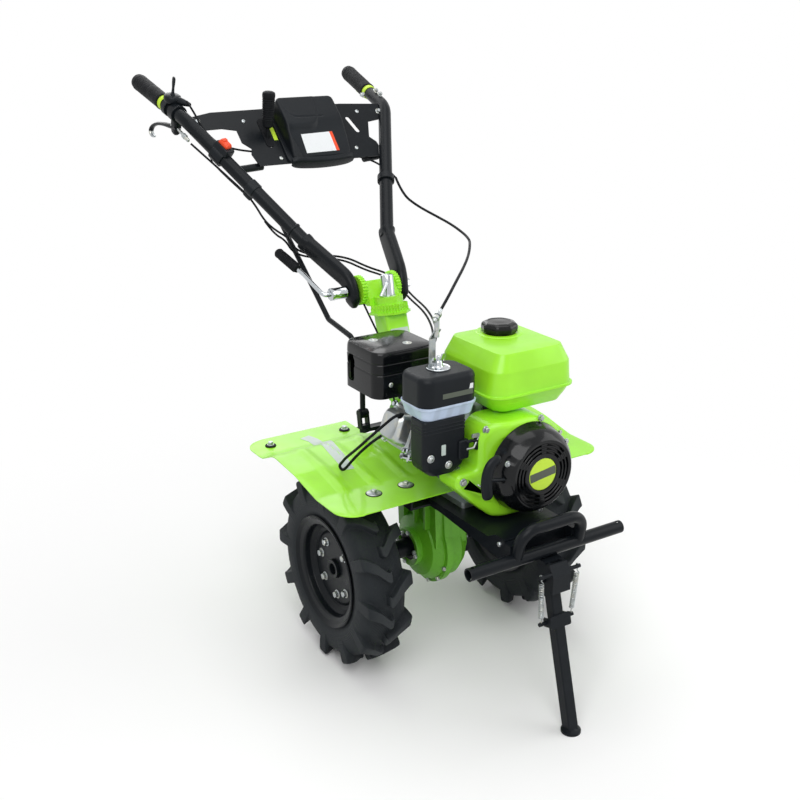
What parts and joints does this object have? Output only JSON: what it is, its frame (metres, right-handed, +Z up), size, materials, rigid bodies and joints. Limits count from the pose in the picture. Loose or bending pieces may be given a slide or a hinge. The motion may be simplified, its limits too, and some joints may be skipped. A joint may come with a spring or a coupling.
{
  "type": "power tiller",
  "caption": "Walk-behind power tiller with lugged wheels, a petrol engine on a gearbox, adjustable handlebars, fenders, a front bumper and a folding stand.",
  "frame": {"origin": "on the ground, at the middle of the machine's length and width", "axes": "+Z up, +Y towards the operator behind the machine, +X to the operator's left"},
  "size_m": [0.66, 1.3878, 1.1834],
  "materials": {
    "green_paint": "glossy lime green enamel",
    "cast_green": "lime green enamel on rough casting",
    "black_paint": "satin black powder coat",
    "tyre_rubber": "matt black tyre rubber",
    "grip_rubber": "matt black rubber",
    "black_plastic": "fine grained black plastic",
    "gloss_black": "gloss black plastic",
    "clear_bowl": "milky bluish plastic",
    "zinc": "bright zinc plate",
    "chrome": "bright chrome plate",
    "aluminium": "die-cast aluminium",
    "yellow_green": "yellow green plastic",
    "red_plastic": "orange red plastic"
  },
  "bodies": {
    "root": {"gearbox_left": "cast_green", "gearbox_right": "cast_green", "hitch": "cast_green", "chassis": "black_paint", "bumper": "black_paint", "stand_bracket": "black_paint", "fender_left": "green_paint", "fender_right": "green_paint", "fender_carriers": "black_paint", "engine_block": "aluminium", "cylinder_head": "aluminium", "valve_cover": "zinc", "fan_shroud": "green_paint", "recoil_cover": "gloss_black", "starter_grip": "black_plastic", "fuel_tank": "green_paint", "fuel_cap": "black_plastic", "tank_stays": "black_paint", "air_cleaner_cover": "black_plastic", "air_cleaner_bowl": "clear_bowl", "carburettor_cover": "black_plastic", "carburettor": "aluminium", "choke_levers": "zinc", "cleaner_nut": "chrome", "cable_strip": "zinc", "muffler_guard": "black_paint", "muffler": "black_paint", "column": "green_paint", "shift_arm": "black_paint", "cables_lower": "grip_rubber", "plug_lead": "grip_rubber"},
    "wheel_left": {"tyre_left": "tyre_rubber", "rim_left": "black_paint", "hub_left": "black_paint"},
    "wheel_right": {"tyre_right": "tyre_rubber", "rim_right": "black_paint", "hub_right": "black_paint"},
    "stand": {"stand_leg": "black_paint", "stand_springs": "zinc"},
    "head": {"head": "green_paint", "swivel_lock": "chrome"},
    "handlebars": {"handlebar_left": "black_paint", "handlebar_right": "black_paint", "grips": "grip_rubber", "grip_collars": "yellow_green", "panel": "black_paint", "panel_hood": "black_plastic", "shift_lever": "grip_rubber", "clutch_lever": "black_paint", "thumb_lever": "black_plastic", "stop_switch": "red_plastic", "cable_clasp": "black_plastic", "clamp_lever": "chrome", "clamp_grip": "grip_rubber", "cables_upper": "grip_rubber"},
    "yoke": {"shift_yoke": "black_paint"},
    "rod": {"shift_rod": "black_paint"}
  },
  "joints": [
    {"name": "wheel_left_spin", "type": "hinge", "parent": "root", "child": "wheel_left", "pos_m": [0.231, -0.175, 0.207], "axis": [-1, 0, 0], "continuous": true},
    {"name": "wheel_right_spin", "type": "hinge", "parent": "root", "child": "wheel_right", "pos_m": [-0.231, -0.175, 0.207], "axis": [-1, 0, 0], "continuous": true},
    {"name": "stand_fold", "type": "hinge", "parent": "root", "child": "stand", "pos_m": [0, -0.587, 0.303], "axis": [1, 0, 0], "range_deg": [0, 90], "deforming": ["stand_springs"]},
    {"name": "handlebar_swivel", "type": "hinge", "parent": "root", "child": "head", "pos_m": [0, 0.001, 0.697], "axis": [0, 0.1736, 0.9848], "range_deg": [-20, 20], "deforming": ["cables_lower"]},
    {"name": "handlebar_height", "type": "hinge", "parent": "head", "child": "handlebars", "pos_m": [0, 0.063, 0.742], "axis": [1, 0, 0], "range_deg": [-25, 8], "deforming": ["cables_upper"]},
    {"name": "yoke_turn", "type": "hinge", "parent": "root", "child": "yoke", "pos_m": [-0.118, -0.074, 0.505], "axis": [0, 0.1736, 0.9848], "range_deg": [-20, 20]},
    {"name": "rod_pitch", "type": "hinge", "parent": "yoke", "child": "rod", "pos_m": [-0.118, -0.074, 0.505], "axis": [1, 0, 0], "range_deg": [-14.5, 4.8]}
  ],
  "couplings": [
    {"joint": "yoke_turn", "follows": "handlebar_swivel", "ratio": 1},
    {"joint": "rod_pitch", "follows": "handlebar_height", "ratio": 0.57}
  ]
}
